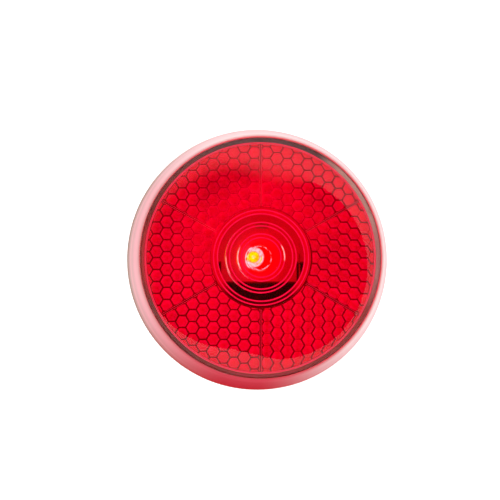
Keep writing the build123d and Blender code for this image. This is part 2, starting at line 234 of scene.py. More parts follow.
def vary(mat, shader, color, scale, amount, rough=None, bump=0.0, bump_scale=1.0):
    """Adds slow colour variation and, where they are given, patchy roughness and a fine bump."""
    link = mat.node_tree.links.new
    slow = noise_field(mat, scale)
    tone = ramp(mat, slow.outputs["Fac"], (0.3, shade(color, 1 - amount)), (0.7, shade(color, 1 + amount)))
    link(tone.outputs["Color"], shader.inputs["Base Color"])
    if rough:
        patch = ramp(mat, slow.outputs["Fac"], (0.3, (rough[0],) * 3), (0.7, (rough[1],) * 3))
        link(patch.outputs["Color"], shader.inputs["Roughness"])
    if bump:
        fine = noise_field(mat, bump_scale, 2.0)
        relief = add_node(mat, "ShaderNodeBump")
        relief.inputs["Strength"].default_value = bump
        relief.inputs["Distance"].default_value = 0.03 * MM
        link(fine.outputs["Fac"], relief.inputs["Height"])
        link(relief.outputs["Normal"], shader.inputs["Normal"])
    return mat


def plastic(name, color, roughness, amount=0.06, bump=0.25, bump_scale=6.0):
    """Moulded plastic. The scale of its bump is in features per millimetre."""
    mat, shader = material(name, color, roughness)
    rough = (roughness - 0.06, roughness + 0.06)
    return vary(mat, shader, color, scale=0.25, amount=amount, rough=rough, bump=bump, bump_scale=bump_scale)


def metal(name, color, roughness=0.28):
    mat, shader = material(name, color, roughness, Metallic=1.0)
    rough = (roughness - 0.08, roughness + 0.1)
    return vary(mat, shader, color, scale=0.8, amount=0.08, rough=rough, bump=0.15, bump_scale=9.0)


def clear(name, color, ior, dullest):
    """Transparent plastic with faint patches in its polish, up to a given roughness."""
    mat, shader = material(name, color, 0.0, Transmission_Weight=1.0, IOR=ior)
    patches = noise_field(mat, 0.2).outputs["Fac"]
    patch = ramp(mat, patches, (0.4, (0.0,) * 3), (0.7, (dullest,) * 3))
    mat.node_tree.links.new(patch.outputs["Color"], shader.inputs["Roughness"])
    return mat


COVER_CLEAR = clear("cover_clear", (1.0, 0.97, 0.97), 1.36, 0.01)
# The cover's inner side hardly bends light, so it gives no second reflection.
COVER_INNER = clear("cover_inner", (1.0, 0.985, 0.985), 1.001, 0.01)
WINDOW_RED = clear("window_red", (0.97, 0.004, 0.04), 1.3, 0.02)


def remap(mat, value, low, high):
    """The value from 0 at low to 1 at high."""
    node = add_node(mat, "ShaderNodeMapRange")
    node.inputs["From Min"].default_value = low
    node.inputs["From Max"].default_value = high
    mat.node_tree.links.new(value, node.inputs["Value"])
    return node.outputs["Result"]


def vector_math(mat, operation, source, constant=None):
    """A vector node on a socket and, where it needs one, a constant vector."""
    node = add_node(mat, "ShaderNodeVectorMath", operation=operation)
    mat.node_tree.links.new(source, node.inputs[0])
    if constant is not None:
        node.inputs[1].default_value = constant
    return node


def flat_place(mat, centre=(0, 0)):
    """The place on the object seen along Z, from a point on it given in millimetres."""
    place = add_node(mat, "ShaderNodeTexCoord").outputs["Object"]
    away = vector_math(mat, "SUBTRACT", place, Vector((*centre, 0)) * MM)
    return vector_math(mat, "MULTIPLY", away.outputs["Vector"], (1, 1, 0)).outputs["Vector"]


def radius_ramp(mat, centre, low, high, *stops):
    """Colours by distance from a point seen along Z, the stops given in millimetres."""
    length = vector_math(mat, "LENGTH", flat_place(mat, centre)).outputs["Value"]
    spread = remap(mat, length, low * MM, high * MM)
    return ramp(mat, spread, *(((at - low) / (high - low), color) for at, color in stops))


def toward(mat, angle, *stops):
    """Grey levels by the cosine of the angle between a surface point's bearing and a given bearing."""
    bearing = vector_math(mat, "NORMALIZE", flat_place(mat)).outputs["Vector"]
    direction = (cos(radians(angle)), sin(radians(angle)), 0)
    cosine = vector_math(mat, "DOT_PRODUCT", bearing, direction).outputs["Value"]
    return ramp(mat, remap(mat, cosine, -1, 1), *(((at + 1) / 2, (level,) * 3) for at, level in stops))


def mixed(mat, factor, first, second, blend="MIX"):
    """Mixes two colour sockets. The factor is a number or a socket."""
    node = add_node(mat, "ShaderNodeMix", data_type="RGBA", blend_type=blend)
    if isinstance(factor, (int, float)):
        node.inputs["Factor"].default_value = factor
    else:
        mat.node_tree.links.new(factor, node.inputs["Factor"])
    mat.node_tree.links.new(first, node.inputs["A"])
    mat.node_tree.links.new(second, node.inputs["B"])
    return node.outputs["Result"]


def flank_material():
    """Satin clear plastic in pale pink rings, a painted reflection, with painted red light making it pinker on
    the left and red at the bottom.
    """
    mat, shader = material("cover_flank", (0.8, 0.5, 0.5), 0.4, IOR=1.3)
    shader.inputs["Specular IOR Level"].default_value = 0.0
    link = mat.node_tree.links.new
    inner, outer = SATIN_R - 0.3, COVER_R
    # The pale pink rings: a painted reflection of the white surround, tinted by the lens's red light.
    pale = radius_ramp(
        mat, (0, 0), inner, outer,
        (inner + 0.32, (0.62, 0.07, 0.08)), (inner + 0.5, (0.7, 0.2, 0.21)),
        (inner + 0.7, (0.7, 0.42, 0.42)), (inner + 0.9, (0.7, 0.48, 0.48)),
        (inner + 1.1, (0.72, 0.55, 0.55)),
        (outer - 0.5, (0.7, 0.47, 0.48)), (outer - 0.1, (0.66, 0.42, 0.42)),
    )
    # The pinker rings on the left: painted red light, darker at the outer edge.
    left_pink_light = radius_ramp(
        mat, (0, 0), inner, outer,
        (inner + 0.3, (0.6, 0.07, 0.06)), (inner + 0.45, (0.62, 0.16, 0.17)),
        (inner + 0.65, (0.6, 0.3, 0.3)), (inner + 0.9, (0.67, 0.34, 0.35)),
        (inner + 1.4, (0.7, 0.35, 0.38)), (inner + 2.0, (0.56, 0.33, 0.33)),
        (inner + 2.3, (0.66, 0.35, 0.36)),
        (outer - 0.45, (0.46, 0.3, 0.29)), (outer - 0.2, (0.36, 0.24, 0.2)), (outer, (0.22, 0.15, 0.12)),
    )
    # The red at the bottom: painted red light from the lens, darkest at the outer edge.
    red = radius_ramp(
        mat, (0, 0), inner, outer,
        (inner, (0.5, 0.035, 0.05)), (inner + 0.3, (0.53, 0.06, 0.08)),
        (inner + 0.6, (0.55, 0.045, 0.07)), (inner + 1.0, (0.47, 0.04, 0.06)),
        (inner + 1.3, (0.42, 0.03, 0.045)),
        (outer - 0.5, (0.38, 0.018, 0.03)), (outer - 0.15, (0.4, 0.02, 0.022)),
        (outer - 0.05, (0.28, 0.004, 0.006)),
    )
    # Painted red light: the pinker rings towards the left, the red ones towards the bottom.
    left = toward(mat, 200, (0.0, 0.0), (0.6, 1.0))
    bottom = toward(mat, 262, (0.37, 0.0), (0.62, 0.2), (0.79, 0.5), (0.93, 0.85), (0.99, 1.0))
    tone = mixed(mat, left.outputs["Color"], pale.outputs["Color"], left_pink_light.outputs["Color"])
    tone = mixed(mat, bottom.outputs["Color"], tone, red.outputs["Color"])
    link(tone, shader.inputs["Base Color"])
    patch = ramp(mat, noise_field(mat, 0.15).outputs["Fac"], (0.35, (0.36,) * 3), (0.65, (0.46,) * 3))
    link(patch.outputs["Color"], shader.inputs["Roughness"])
    return mat


COVER_FLANK = flank_material()


def prism_material():
    """Bright red cells that glow, a painted light, with painted shade from the attributes that the mesh
    carries: darker outlines from groove, darker sides and patches from shade.
    """
    mat, shader = material("prism_red", (1.0, 0.0, 0.02), 0.3, IOR=1.12)
    link = mat.node_tree.links.new
    shader.inputs["Specular IOR Level"].default_value = 0.0
    groove = add_node(mat, "ShaderNodeAttribute", attribute_name="groove")
    # Painted shade: darkest in the grooves round each cell, a little darker in the hollow in its middle.
    tone = ramp(
        mat, groove.outputs["Fac"],
        (0.0, (0.88, 0.0, 0.012)), (0.25, (1.0, 0.0, 0.036)),
        (0.6, (0.62, 0.0, 0.01)), (1.0, (0.22, 0.0, 0.002)),
    )
    # The shade attribute: painted shade on one side of each cell and in broad patches, on top of its random
    # tone.
    soft = add_node(mat, "ShaderNodeAttribute", attribute_name="shade")
    white = (1, 1, 1)
    mottle = ramp(mat, noise_field(mat, 0.35).outputs["Fac"], (0.35, (0.9,) * 3), (0.6, white))
    grain = ramp(mat, noise_field(mat, 1.6).outputs["Fac"], (0.35, (0.86, 1, 0.5)), (0.6, white))
    mottle_and_shade = mixed(mat, 1.0, mottle.outputs["Color"], soft.outputs["Color"], "MULTIPLY")
    mottle_and_shade = mixed(mat, 1.0, mottle_and_shade, grain.outputs["Color"], "MULTIPLY")
    tone = mixed(mat, 1.0, tone.outputs["Color"], mottle_and_shade, "MULTIPLY")
    link(tone, shader.inputs["Base Color"])
    # The cells glow in their own colour: painted light.
    link(tone, shader.inputs["Emission Color"])
    shader.inputs["Emission Strength"].default_value = 0.38
    return mat


PRISM_RED = prism_material()


# ---- the clear cover ----
LEDGE_BEARINGS = (90, 210, 330)
LEDGE_R = 25.2
LEDGE_LOW_Z = 11.4
WALL_TOP_Z = 20.0        # below this everything belongs to the cover's wall
# The top, the start and the span in degrees of each bayonet ledge and of the stop at its end.
LEDGE_BLOCKS = ((12.65, -15, 30), (14.2, 13.5, 3))


def build_cover():
    """The cover in one closed skin, with three bayonet ledges inside it."""
    flank_top = COVER_R - FLANK_TAPER
    outer = [(COVER_R - 0.4, REAR_Z), (COVER_R - 0.1, REAR_Z + 0.1), (COVER_R, REAR_Z + 0.42)]
    outer += arc((flank_top - SHOULDER_R, FLANK_TOP_Z - 0.1), SHOULDER_R, 6, 80, 8)
    outer += list(reversed(shell_points(DOME_R, 0, flank_top - SHOULDER_R + 0.02, 44)))
    inner = shell_points(DOME_R - COVER_THICK, 0, NECK_R, 30)
    inner += [(NECK_R, NECK_Z + 0.8), (BORE_R, NECK_Z), (BORE_R, REAR_Z)]
    parts = [lathe_parts(outer + inner, ROUND_STEPS)]
    foot = BORE_R - 0.01
    for middle in LEDGE_BEARINGS:
        for high, start, span in LEDGE_BLOCKS:
            block = [(LEDGE_R, LEDGE_LOW_Z), (foot, LEDGE_LOW_Z), (foot, high), (LEDGE_R, high)]
            parts.append(lathe_parts(block, 16, middle + start, span))
    cover = new_object("cover_dome", *merged(parts))
    for mat in (COVER_CLEAR, COVER_FLANK, COVER_INNER):
        cover.data.materials.append(mat)
    for face in cover.data.polygons:
        middle = face.center / MM
        off_axis = hypot(middle.x, middle.y)
        underside = middle.z < dome_z(off_axis, DOME_R - COVER_THICK / 2)
        on_wall = off_axis > NECK_R + 0.05 or middle.z < WALL_TOP_Z
        if on_wall or (off_axis > SATIN_R and not underside):
            face.material_index = 1
        elif underside:
            face.material_index = 2
    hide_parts("clear_cover")
    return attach(cover, "front")


# ---- the red lens ----
def build_window():
    """The clear red middle of the lens, with its three ring ribs on the back."""
    foot, crest = 0.12, 0.08     # how far each sloped wall of a rib spreads past its nominal radius
    front = shell_points(LENS_FRONT, 0, WINDOW_R, 24)
    back = []
    for inner, outer in RING_RIBS:
        low, high = dome_z(inner, LENS_BACK), dome_z(outer, LENS_BACK)
        back += [(inner - foot, low), (inner + crest, low - RIB_HEIGHT)]
        back += [(outer - crest, high - RIB_HEIGHT), (outer + foot, high)]
    back += [(WINDOW_R, dome_z(WINDOW_R, LENS_BACK))]
    profile = front + list(reversed(back)) + [(0, dome_z(0, LENS_BACK))]
    window = new_object("lens_window", *lathe_parts(profile, FINE_STEPS))
    window.data.materials.append(WINDOW_RED)
    window.data.materials.append(RIB_FROST_GLOW)
    for face in window.data.polygons:
        middle = face.center / MM
        off_axis = hypot(middle.x, middle.y)
        if off_axis > RING_RIBS[-1][0] and middle.z < dome_z(off_axis, LENS_BACK) + 0.02:
            face.material_index = 1
    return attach(window, "front")


def ring_lip_material():
    """Pinkish red that glows, painted light along the rib walls, with short painted white glints where the
    middle ribs catch the LED's light.
    """
    mat, shader = material("ring_lip_red", (0.7, 0.002, 0.02), 0.3, IOR=1.1, Emission_Strength=1.0)
    low, high = RING_RIBS[0][0] - 0.2, RING_RIBS[-1][1] + 0.32
    near, far = RING_RIBS[0][1], RING_RIBS[1][1]
    black, full, half = (0.0,) * 3, (1.0,) * 3, (0.45,) * 3
    glow = radius_ramp(
        mat, (0, 0), low, high,
        (RING_RIBS[0][0] + 0.4, black), (near - 0.12, full), (near + 0.2, black), (RING_RIBS[1][0], black),
    )
    outer_glow = radius_ramp(mat, (0, 0), low, high, (far - 0.3, black), (far, half), (far + 0.2, black))
    right = toward(mat, 12, (0.93, 0.0), (0.98, 1.0))
    left = toward(mat, 183, (0.86, 0.0), (0.96, 1.0))
    far_left = toward(mat, 193, (0.96, 0.0), (0.985, 1.0))
    sides = mixed(mat, 1.0, right.outputs["Color"], left.outputs["Color"], "ADD")
    glint = mixed(mat, 1.0, glow.outputs["Color"], sides, "MULTIPLY")
    outer_glint = mixed(mat, 1.0, outer_glow.outputs["Color"], far_left.outputs["Color"], "MULTIPLY")
    glint = mixed(mat, 1.0, glint, outer_glint, "ADD")
    slow, quick = noise_field(mat, 0.5).outputs["Fac"], noise_field(mat, 2.0).outputs["Fac"]
    plain = ramp(mat, slow, (0.3, (0.55, 0.002, 0.042)), (0.7, (0.68, 0.004, 0.058)))
    white = ramp(mat, quick, (0.3, (1.0, 0.45, 0.4)), (0.7, (1.0, 0.9, 0.85)))
    tone = mixed(mat, glint, plain.outputs["Color"], white.outputs["Color"])
    mat.node_tree.links.new(tone, shader.inputs["Emission Color"])
    return mat


def frosted_glowing_rib_material():
    """The outermost rib glows red, a painted light, and is dimmer at the bottom, a painted shade, where it
    stands over the open notch.
    """
    mat, shader = material("rib_frost_glow", (0.6, 0.005, 0.04), 0.5, IOR=1.3, Emission_Strength=0.5)
    below = toward(mat, 268, (0.55, 0.0), (0.78, 1.0))
    patches = noise_field(mat, 0.5).outputs["Fac"]
    lit = ramp(mat, patches, (0.3, (0.72, 0.0, 0.06)), (0.7, (0.84, 0.0, 0.08)))
    dim = ramp(mat, patches, (0.3, (0.09, 0.0, 0.01)), (0.7, (0.12, 0.0, 0.012)))
    tone = mixed(mat, below.outputs["Color"], lit.outputs["Color"], dim.outputs["Color"])
    mat.node_tree.links.new(tone, shader.inputs["Base Color"])
    mat.node_tree.links.new(tone, shader.inputs["Emission Color"])
    return mat


RIB_FROST_GLOW = frosted_glowing_rib_material()
RING_LIP = 0.34          # width at its foot


def build_ring_lips():
    """A fine raised line over each wall of the three ring ribs. Its glow is painted light, where the walls
    catch the LED's light.
    """
    half, foot, crest = RING_LIP / 2, -0.1, 0.05
    parts = []
    for radius in (r for rib in RING_RIBS for r in rib):
        front = dome_z(radius, LENS_FRONT)
        outline = [
            (radius - half, front + foot), (radius + half, front + foot),
            (radius + half * 0.5, front + crest), (radius - half * 0.5, front + crest),
        ]
        parts.append(lathe_parts(outline, FINE_STEPS))
    lips = new_object("lens_ring_lips", *merged(parts))
    lips.data.materials.append(ring_lip_material())
    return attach(lips, "front")


def clip_polygon(points, normal, limit):
    """The part of a convex polygon where point . normal <= limit."""
    kept = []
    for here, after in zip(points, points[1:] + points[:1]):
        a = here[0] * normal[0] + here[1] * normal[1] - limit
        b = after[0] * normal[0] + after[1] * normal[1] - limit
        if a <= 0:
            kept.append(here)
        if a * b < 0:
            t = a / (a - b)
            kept.append((here[0] + (after[0] - here[0]) * t, here[1] + (after[1] - here[1]) * t))
    return kept


SQUARE_HALF = 5.0        # well outside any cell
CELL_GAP = 0.035         # taken off each cell all round


def inset_hexagon(centre):
    """A hexagonal cell with a level top and bottom, cut from a larger square."""
    corners = ((1, 1), (-1, 1), (-1, -1), (1, -1))
    points = [(centre[0] + s * SQUARE_HALF, centre[1] + t * SQUARE_HALF) for s, t in corners]
    for i in range(6):
        angle = radians(30 + 60 * i)
        normal = (cos(angle), sin(angle))
        limit = centre[0] * normal[0] + centre[1] * normal[1] + CELL_FLATS / 2 - CELL_GAP
        points = clip_polygon(points, normal, limit)
    return points


def clip_to_sector(points, centre, middle_angle):
    """Clips a cell to its sector and to the ring between the window and the rim."""
    for side in (-1, 1):
        line = radians(middle_angle + side * 30)
        normal = (-sin(line) * side, cos(line) * side)
        points = clip_polygon(points, normal, -SECTOR_LINE / 2 - SECTOR_LIP)
    direction = atan2(centre[1], centre[0])
    for offset in (-4, 0, 4):
        angle = direction + radians(offset)
        points = clip_polygon(points, (cos(angle), sin(angle)), PRISM_R - 0.05)
    points = clip_polygon(points, (-cos(direction), -sin(direction)), -(WINDOW_R + 0.2))
    return points


# A cell's centre in the right-hand sector and one in the sector above it. The other sectors mirror these two.
SIDE_CELL = (19.94, 0.0)
UPPER_CELL = (3.5, 13.55)
CELL_REACH = 24          # cells counted each way from there


def sector_cells():
    """Yields (centre, middle angle of its sector) for the cells that reach into the prism ring."""
    column = CELL_FLATS * cos(radians(30))
    for sector in range(6):
        middle = 60 * sector
        mirror_x = -1 if 90 < middle < 270 else 1
        mirror_y = 1 if middle < 180 else -1
        first = SIDE_CELL if middle in (0, 180) else UPPER_CELL
        start = (first[0] * mirror_x, first[1] * mirror_y)
        for i in range(-CELL_REACH, CELL_REACH + 1):
            for j in range(-CELL_REACH, CELL_REACH + 1):
                x = start[0] + column * i
                y = start[1] + CELL_FLATS * (j + (0.5 if i % 2 else 0.0))
                off = (degrees(atan2(y, x)) - middle + 180) % 360 - 180
                if abs(off) < 40 and WINDOW_R - 1 < hypot(x, y) < PRISM_R + 1.3:
                    yield (x, y), middle


def bell(x, y, centre, width):
    """1 at the centre, falling softly to 0 round it."""
    return exp(-((x - centre[0]) ** 2 + (y - centre[1]) ** 2) / (2 * width ** 2))


def patchy(x, y, patches):
    """The sum of soft round patches, each given as its depth, its centre and its width."""
    return sum(depth * bell(x, y, centre, width) for depth, centre, width in patches)


# The cells' outlines fade beside the window, most of all at the upper left, where light runs along the lens.
OUTLINE_FADES = (
    (0.7, (-9, 4), 5.5), (0.5, (2, 14), 4.5), (0.4, (10, 8), 3.5), (0.3, (-8, 16), 5.0),
)
MOST_FADED = 0.75
# Broad patches where the prisms send less light back: a band at the upper left, the right and the far left.
SHADE_PATCHES = (
    (0.25, (-2.5, 18.4), 2.0), (0.25, (-7.5, 17), 2.2), (0.25, (-12, 14.5), 2.2),
    (0.14, (13, 13), 3.0), (0.14, (17, 0), 5.0), (0.1, (-20, 6), 4),
)


def outline_strength(x, y):
    """How dark the cells' outlines are at a place, 1 where they don't fade."""
    return 1 - min(patchy(x, y, OUTLINE_FADES), MOST_FADED)


def soft_shade(x, y):
    """The brightness of the prisms at a place, 1 outside the patches."""
    return 1 - patchy(x, y, SHADE_PATCHES)


# How dark an edge stays where it is faint, and which way the faint edges of a sector face, in degrees.
FAINT_EDGE = 0.15
FAINT_NORMALS = {300: 90, 0: 150}


def with_faint_edges(outline, normal_angle):
    """Gives each corner the factor 1, and adds fainter points along the edges that face a given way."""
    points = []
    for (x, y), (next_x, next_y) in zip(outline, outline[1:] + outline[:1]):
        points.append((x, y, 1.0))
        facing = degrees(atan2(x - next_x, next_y - y))
        if normal_angle is None or abs((facing - normal_angle + 90) % 180 - 90) > 10:
            continue
        for t in (0.12, 0.88):
            points.append((x + (next_x - x) * t, y + (next_y - y) * t, FAINT_EDGE))
    return points


# Each cell from its outline inwards: how far in, how far down, and how dark the painted shade of its groove.
CELL_STEPS = ((0.0, 0.3, 1.0), (0.09, 0.1, 0.72), (0.26, 0.03, 0.25))
SMALLEST_CELL = 0.25     # a cut cell with a smaller reach is left out


def build_prisms():
    """One raised cell after another, each with a groove round it and a shallow hollow in its middle."""
    verts, faces, depth, tone_and_shade = [], [], [], []
    rng = Random(7)

    def put(x, y, drop, groove, tone):
        verts.append((x, y, dome_z(hypot(x, y), LENS_FRONT) - drop))
        # The first list holds the painted shade of the grooves. The second holds each cell's random tone times
        # painted shade.
        depth.append(groove * outline_strength(x, y))
        tone_and_shade.append(tone * soft_shade(x, y))
        return len(verts) - 1

    for centre, middle in sector_cells():
        outline = clip_to_sector(inset_hexagon(centre), centre, middle)
        if len(outline) < 3:
            continue
        cell_tone = rng.uniform(0.93, 1.0)
        outline = with_faint_edges(outline, FAINT_NORMALS.get(middle))
        count = len(outline)
        cx = sum(p[0] for p in outline) / count
        cy = sum(p[1] for p in outline) / count
        reach = sum(hypot(x - cx, y - cy) for x, y, _ in outline) / count
        if reach < SMALLEST_CELL:
            continue
        loops = []
        for inset, drop, groove in CELL_STEPS:
            keep = max(0.1, 1 - inset / reach)
            loop = []
            for x, y, factor in outline:
                # Painted shade: each cell is lighter towards its upper left and darker towards its lower
                # right.
                side_shade = ((y - cy) - (x - cx)) / reach
                tone = cell_tone * (1 + 0.08 * side_shade)
                loop.append(put(cx + (x - cx) * keep, cy + (y - cy) * keep, drop, groove * factor, tone))
            loops.append(loop)
        for low, high in zip(loops, loops[1:]):
            for i in range(count):
                j = (i + 1) % count
                faces.append([low[i], low[j], high[j], high[i]])
        hub = put(cx, cy, 0.1, 0.0, cell_tone)
        for i in range(count):
            faces.append([loops[-1][i], loops[-1][(i + 1) % count], hub])
    return verts, faces, depth, tone_and_shade


def build_reflector():
    """The prism ring: its cells, the plate under them and the plain rim round them, in one mesh."""
    gap = 0.02
    cells = build_prisms()
    floor_profile = shell_points(LENS_FRONT - 0.3, WINDOW_R + gap, PRISM_R, 20)
    under = shell_points(LENS_BACK, WINDOW_R + gap, PRISM_R, 20)
    floor_part = lathe_parts(floor_profile + list(reversed(under)), FINE_STEPS)
    rim_front = shell_points(LENS_FRONT, PRISM_R + gap, LENS_R - 0.05, 3)
    rim_front.append((LENS_R, dome_z(LENS_R, LENS_FRONT) - 0.1))
    rim_back = [(LENS_R, dome_z(LENS_R, LENS_BACK)), (PRISM_R + gap, dome_z(PRISM_R, LENS_BACK))]
    rim_part = lathe_parts(rim_front + rim_back, ROUND_STEPS)
    verts, faces = merged([cells[:2], floor_part, rim_part])
    floor_places, rim_count = floor_part[0], len(rim_part[0])
    # Painted shade: the plate under the cells is as dark as the grooves, and carries the cells' painted
    # patches of shade.
    groove_shades = cells[2] + [outline_strength(x, y) for x, y, _ in floor_places] + [0.2] * rim_count
    shades = cells[3] + [soft_shade(x, y) for x, y, _ in floor_places] + [1.0] * rim_count
    mesh = bpy.data.meshes.new("lens_prisms")
    mesh.from_pydata([Vector(v) * MM for v in verts], [], faces)
    for name, values in (("groove", groove_shades), ("shade", shades)):
        mesh.attributes.new(name, "FLOAT", "POINT").data.foreach_set("value", values)
    mesh.shade_smooth()
    mesh.set_sharp_from_angle(angle=radians(12))
    mesh.materials.append(PRISM_RED)
    mesh.materials.append(RIM_RED)
    first_rim_face = len(cells[1]) + len(floor_part[1])
    for face in mesh.polygons[first_rim_face:]:
        face.material_index = 1
    prisms = bpy.data.objects.new("lens_prisms", mesh)
    bpy.context.scene.collection.objects.link(prisms)
    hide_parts("red_lens")
    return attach(prisms, "front")


def build_sector_lips():
    """Raised lips along both sides of the six lines between the sectors."""
    edge, foot, crest, steps = SECTOR_LINE / 2, 0.3, 0.02, 24
    section = ((edge, foot), (edge + 0.02, crest), (edge + 0.1, crest), (edge + SECTOR_LIP, foot))
    parts = []
    for sector in range(6):
        angle = radians(30 + 60 * sector)
        along, across = (cos(angle), sin(angle)), (-sin(angle), cos(angle))
        for side in (-1, 1):
            verts, faces = [], []
            for k in range(steps + 1):
                r = WINDOW_R + 0.4 + (PRISM_R - WINDOW_R - 0.5) * k / steps
                for offset, drop in section:
                    x = along[0] * r + across[0] * offset * side
                    y = along[1] * r + across[1] * offset * side
                    verts.append((x, y, dome_z(r, LENS_FRONT) - drop))
            for k in range(steps):
                for m in range(4):
                    n = (m + 1) % 4
                    faces.append([4 * k + m, 4 * k + n, 4 * k + 4 + n, 4 * k + 4 + m])
            faces.append([0, 1, 2, 3])
            faces.append([4 * steps + m for m in (3, 2, 1, 0)])
            parts.append((verts, faces))
    lips = new_object("lens_sector_lips", *merged(parts))
    lips.data.materials.append(LIP_RED)
    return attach(lips, "front")


def lip_material(name, color, glow):
    """Smooth red with a faint painted glow, standing in for the LED's light."""
    mat, shader = material(name, color, 0.3, IOR=1.1, Emission_Strength=glow)
    shader.inputs["Emission Color"].default_value = (1.0, color[1], color[2], 1)
    return vary(mat, shader, color, scale=0.6, amount=0.1)


LIP_RED = lip_material("lip_red", (0.8, 0.01, 0.04), 0.25)
RIM_RED = lip_material("rim_red", (0.85, 0.02, 0.07), 0.45)


# ---- the LED ----
def led_material():
    """Epoxy lit from the cup: a yellow core, a pale half moon round it, and red on the far side, with painted
    highlights: arcs to the lower right and a thin line round the rim.

    The colours are strong in green because they are seen through the deep red window.
    """
    mat, shader = material("led_epoxy", (0.6, 0.25, 0.22), 0.15, Emission_Strength=LED_POWER, IOR=1.4)
    red = 1 / LED_POWER
    lit, black, full = (0.9 * red, 0.0006, 0.0), (0.0,) * 3, (1.0,) * 3
    pink, yellow = (red, 0.6, 0.07), (red, 0.85, 0.0)
    core, reach = LED_CORE, 3.2
    glow = radius_ramp(
        mat, core, 0.0, reach,
        (0.0, (red, 1.0, 0.05)), (0.3, (red, 1.0, 0.02)), (0.45, yellow), (0.95, yellow),
        (1.2, (red, 0.35, 0.01)), (1.35, pink), (2.0, pink), (2.15, (red, 0.2, 0.03)), (2.25, lit),
    )
    # Painted highlights: arcs of the cup's light towards the lower right.
    arcs = radius_ramp(mat, core, 0.0, reach, (1.5, black), (1.6, full), (1.75, full), (1.85, black))
    lower_right = toward(mat, 330, (-0.2, 0.0), (0.5, 1.0))
    arc_mask = mixed(mat, 1.0, arcs.outputs["Color"], lower_right.outputs["Color"], "MULTIPLY")
    arc_color = ramp(mat, noise_field(mat, 1.0).outputs["Fac"], (0.3, yellow), (0.7, (red, 0.6, 0.0)))
    tone = mixed(mat, arc_mask, glow.outputs["Color"], arc_color.outputs["Color"])
    # A painted highlight: a thin pale line round the rim of the dome.
    edge = radius_ramp(mat, (-0.2, 0), 0.0, reach, (2.3, black), (2.4, full), (2.5, full), (2.62, black))
    rim_highlight_color = ramp(mat, noise_field(mat, 1.4).outputs["Fac"], (0.42, lit), (0.58, (red, 0.4, 0.06)))
    tone = mixed(mat, edge.outputs["Color"], tone, rim_highlight_color.outputs["Color"])
    streaks = ramp(mat, noise_field(mat, 1.8).outputs["Fac"], (0.35, (1, 0.5, 0.4)), (0.55, (1, 1, 1)))
    tone = mixed(mat, 1.0, tone, streaks.outputs["Color"], "MULTIPLY")
    mat.node_tree.links.new(tone, shader.inputs["Emission Color"])
    return mat


LED_POWER = 260.0
LED_CORE = (-1.5, 0.15)  # where the brightest light leaves the dome, seen along Z


def build_led():
    """The 5 mm body with its flange and round end."""
    low, high = corners_mm("led_dome")
    radius, flange, flange_top = 2.5, high.y, low.z + 1.0
    profile = [(0, low.z), (flange, low.z), (flange, flange_top - 0.1)]
    profile += [(flange - 0.1, flange_top), (radius, flange_top)]
    profile += arc((0, high.z - radius), radius, 0, 88, 20) + [(0, high.z)]
    led = new_object("led_lens", *lathe_parts(profile, 96))
    led.data.materials.append(led_material())
    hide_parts("led_dome")
    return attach(led, "base")


# ---- the clip's spring ----
def build_spring():
    """A round wire wound on the pin, with a straight leg at each end."""
    wire, coil, turns = 0.45, 1.9, 4.5     # the wire's and the coil's radius, and the turns
    leg_steps, turn_steps, sides = 9, 32, 14
    low, high = corners_mm("clip_spring")
    half = (high.x - low.x) / 2 - wire
    pin_low, pin_high = corners_mm("hinge_pin")
    pin_y, pin_z = (pin_low.y + pin_high.y) / 2, (pin_low.z + pin_high.z) / 2
    leg_end = high.y
    path = []
    for k in range(leg_steps):
        path.append((-half, leg_end - (leg_end - pin_y) * k / leg_steps, pin_z + coil))
    steps = int(turns * turn_steps)
    for k in range(steps + 1):
        angle = 2 * pi * turns * k / steps
        x = -half + 2 * half * k / steps
        path.append((x, pin_y - coil * sin(angle), pin_z + coil * cos(angle)))
    for k in range(1, leg_steps + 1):
        path.append((half, pin_y + (leg_end - pin_y) * k / leg_steps, pin_z - coil))
    verts, faces = [], []
    for k, point in enumerate(path):
        ahead = Vector(path[min(k + 1, len(path) - 1)]) - Vector(path[max(k - 1, 0)])
        ahead.normalize()
        first = ahead.cross(Vector((1, 0, 0))).normalized()
        second = ahead.cross(first)
        for m in range(sides):
            angle = 2 * pi * m / sides
            verts.append(Vector(point) + (first * cos(angle) + second * sin(angle)) * wire)
    for k in range(len(path) - 1):
        for m in range(sides):
            n = (m + 1) % sides
            faces.append([sides * k + m, sides * k + n, sides * (k + 1) + n, sides * (k + 1) + m])
    faces.append(list(range(sides)))
    faces.append([sides * (len(path) - 1) + m for m in reversed(range(sides))])
    spring = new_object("spring_wire", verts, faces, 50)
    spring.data.materials.append(metal("spring_steel", (0.55, 0.55, 0.56), 0.3))
    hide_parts("clip_spring")
    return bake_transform(spring)


# ---- looks of the kept solids ----
def die_material():
    """The lit chip."""
    mat, shader = material("die_lit", (1.0, 0.9, 0.3), 0.4, Emission_Strength=5.0)
    tone = ramp(mat, noise_field(mat, 3.0).outputs["Fac"], (0.3, (1.0, 0.9, 0.15)), (0.7, (1.0, 1.0, 0.3)))
    mat.node_tree.links.new(tone.outputs["Color"], shader.inputs["Emission Color"])
    return mat


